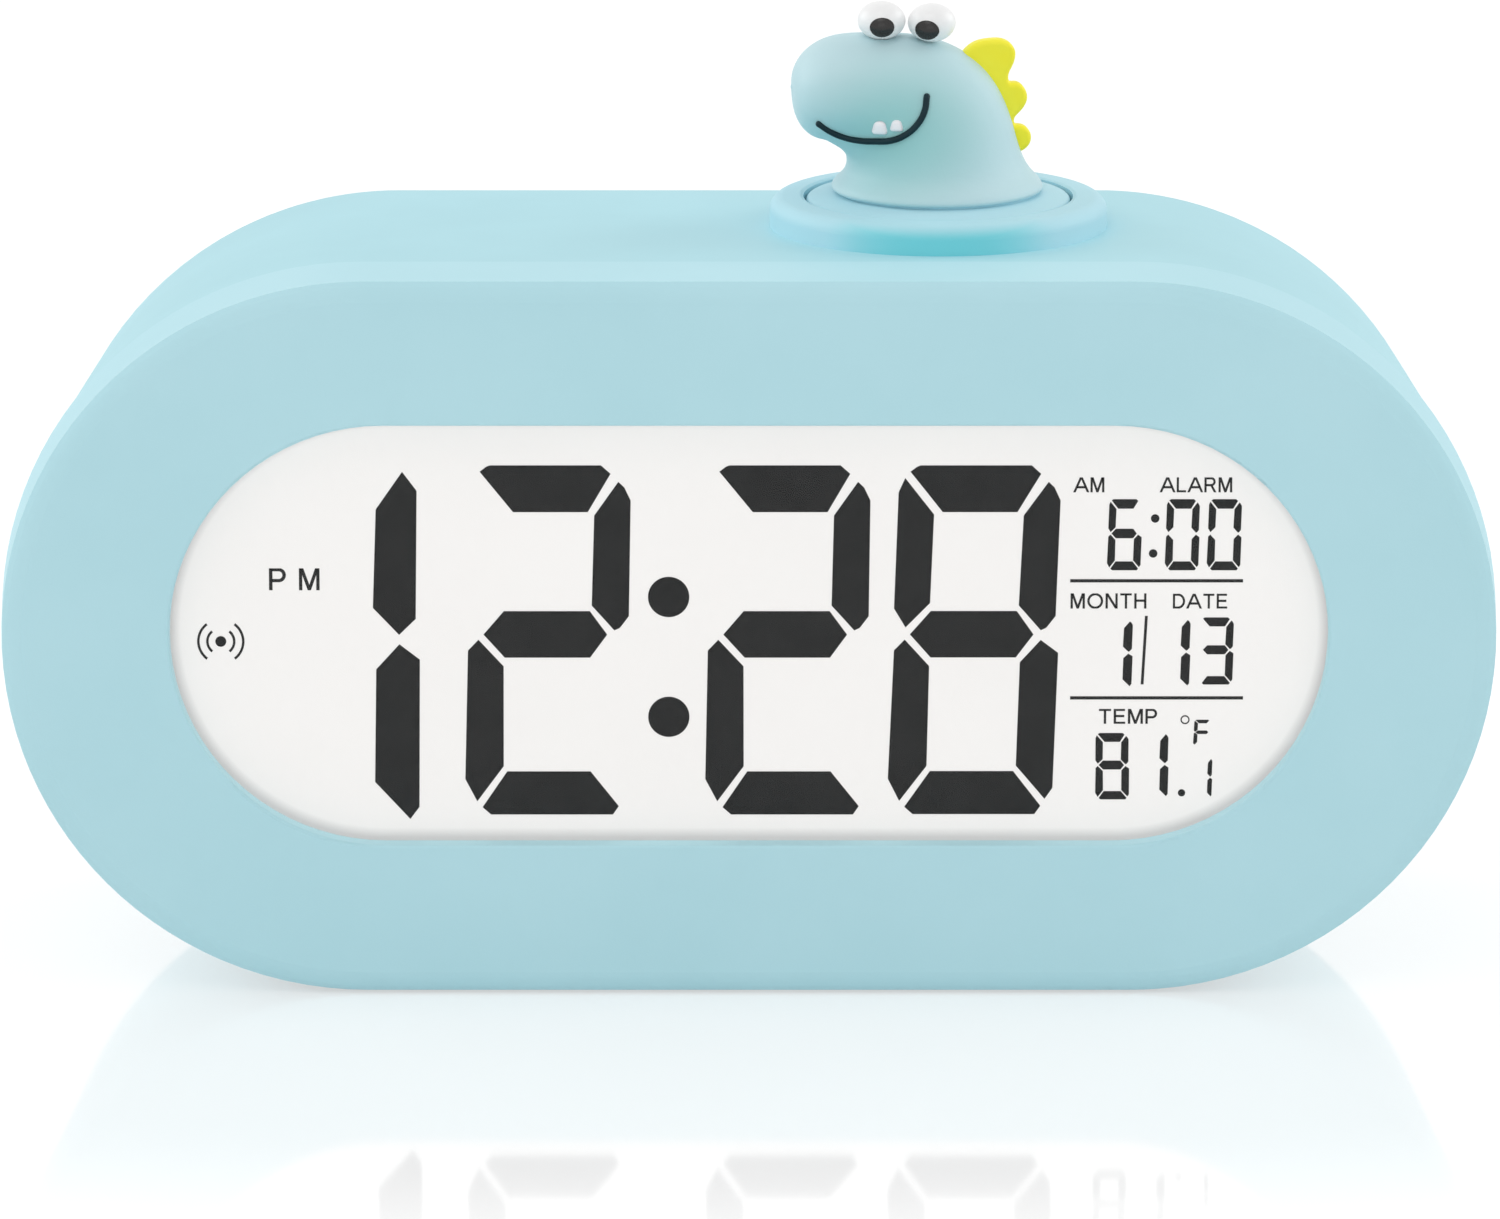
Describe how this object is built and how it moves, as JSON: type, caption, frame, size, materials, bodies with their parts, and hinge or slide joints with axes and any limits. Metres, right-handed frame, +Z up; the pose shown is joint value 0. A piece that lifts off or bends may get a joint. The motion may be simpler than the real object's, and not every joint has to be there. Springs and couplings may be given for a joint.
{
  "type": "kids alarm clock",
  "caption": "Pill-shaped light blue LCD alarm clock on flat feet, with a toy dinosaur on its round snooze button and setting keys, slide switch and battery door on the back.",
  "frame": {"origin": "on the floor, under the middle of the case", "axes": "+X to the viewer's right, +Y to the back, +Z up; the display faces -Y"},
  "size_m": [0.1512, 0.053, 0.0965],
  "materials": {
    "shell_blue": "soft-touch light blue",
    "figure_blue": "soft light blue toy plastic",
    "crest_yellow": "satin yellow",
    "eye_white": "gloss white",
    "pupil_black": "gloss black",
    "mouth_dark": "dark teal",
    "tooth_white": "satin white",
    "lens_clear": "clear",
    "lcd_white": "white backlit display glass",
    "guide_clear": "clear acrylic",
    "sheet_white": "white reflecting sheet",
    "holder_white": "white",
    "led_white": "white package",
    "board_green": "green solder mask",
    "strip_rubber": "conductive rubber",
    "part_black": "black",
    "steel": "plain",
    "can_alu": "plain",
    "spring_steel": "nickel plated",
    "cone_paper": "black",
    "cell_jacket": "plain jacket, no print",
    "key_blue": "light blue",
    "foot_rubber": "pale grey"
  },
  "bodies": {
    "case": {"front_shell": "shell_blue", "rear_shell": "shell_blue", "snooze_collar": "shell_blue", "lens": "lens_clear", "lcd_panel": "lcd_white", "light_guide": "guide_clear", "reflector_sheet": "sheet_white", "display_holder": "holder_white", "backlight_leds": "led_white", "main_board": "board_green", "key_board": "board_green", "snooze_board": "board_green", "contact_strip": "strip_rubber", "controller_chip": "part_black", "key_switches": "part_black", "slide_switch_body": "part_black", "snooze_switch": "part_black", "temperature_sensor": "part_black", "case_screws": "steel", "holder_screws": "steel", "board_screws": "steel", "key_board_screws": "steel", "snooze_screws": "steel", "speaker_basket": "steel", "battery_contacts": "steel", "quartz_crystal": "can_alu", "capacitor": "can_alu", "snooze_spring": "spring_steel", "battery_spring_1": "spring_steel", "battery_spring_2": "spring_steel", "battery_spring_3": "spring_steel", "speaker_cone": "cone_paper", "battery_cell_1": "cell_jacket", "battery_cell_2": "cell_jacket", "battery_cell_3": "cell_jacket", "foot_pad_1": "foot_rubber", "foot_pad_2": "foot_rubber", "foot_pad_3": "foot_rubber", "foot_pad_4": "foot_rubber"},
    "snooze": {"snooze_button": "shell_blue", "dino_body": "figure_blue", "dino_eyes": "eye_white", "dino_pupils": "pupil_black", "dino_crest": "crest_yellow", "dino_mouth": "mouth_dark", "dino_teeth": "tooth_white"},
    "time_key": {"time_key": "key_blue"},
    "alarm_key": {"alarm_key": "key_blue"},
    "up_key": {"up_key": "key_blue"},
    "down_key": {"down_key": "key_blue"},
    "slide_knob": {"slide_switch_knob": "key_blue"},
    "battery_door": {"battery_door": "shell_blue"}
  },
  "joints": [
    {"name": "snooze_press", "type": "slide", "parent": "case", "child": "snooze", "axis": [0, 0, -1], "range_m": [0, 0.0015], "stiffness_N_per_m": 400, "springref_m": -0.003, "deforming": ["snooze_spring"]},
    {"name": "time_key_press", "type": "slide", "parent": "case", "child": "time_key", "axis": [0, -1, 0], "range_m": [0, 0.0006], "stiffness_N_per_m": 600, "springref_m": -0.001},
    {"name": "alarm_key_press", "type": "slide", "parent": "case", "child": "alarm_key", "axis": [0, -1, 0], "range_m": [0, 0.0006], "stiffness_N_per_m": 600, "springref_m": -0.001},
    {"name": "up_key_press", "type": "slide", "parent": "case", "child": "up_key", "axis": [0, -1, 0], "range_m": [0, 0.0006], "stiffness_N_per_m": 600, "springref_m": -0.001},
    {"name": "down_key_press", "type": "slide", "parent": "case", "child": "down_key", "axis": [0, -1, 0], "range_m": [0, 0.0006], "stiffness_N_per_m": 600, "springref_m": -0.001},
    {"name": "alarm_slide", "type": "slide", "parent": "case", "child": "slide_knob", "axis": [1, 0, 0], "range_m": [0, 0.003]},
    {"name": "battery_door_swing", "type": "hinge", "parent": "case", "child": "battery_door", "pos_m": [0, 0.0265, 0.01815], "axis": [-1, 0, 0], "range_deg": [0, 75]}
  ]
}
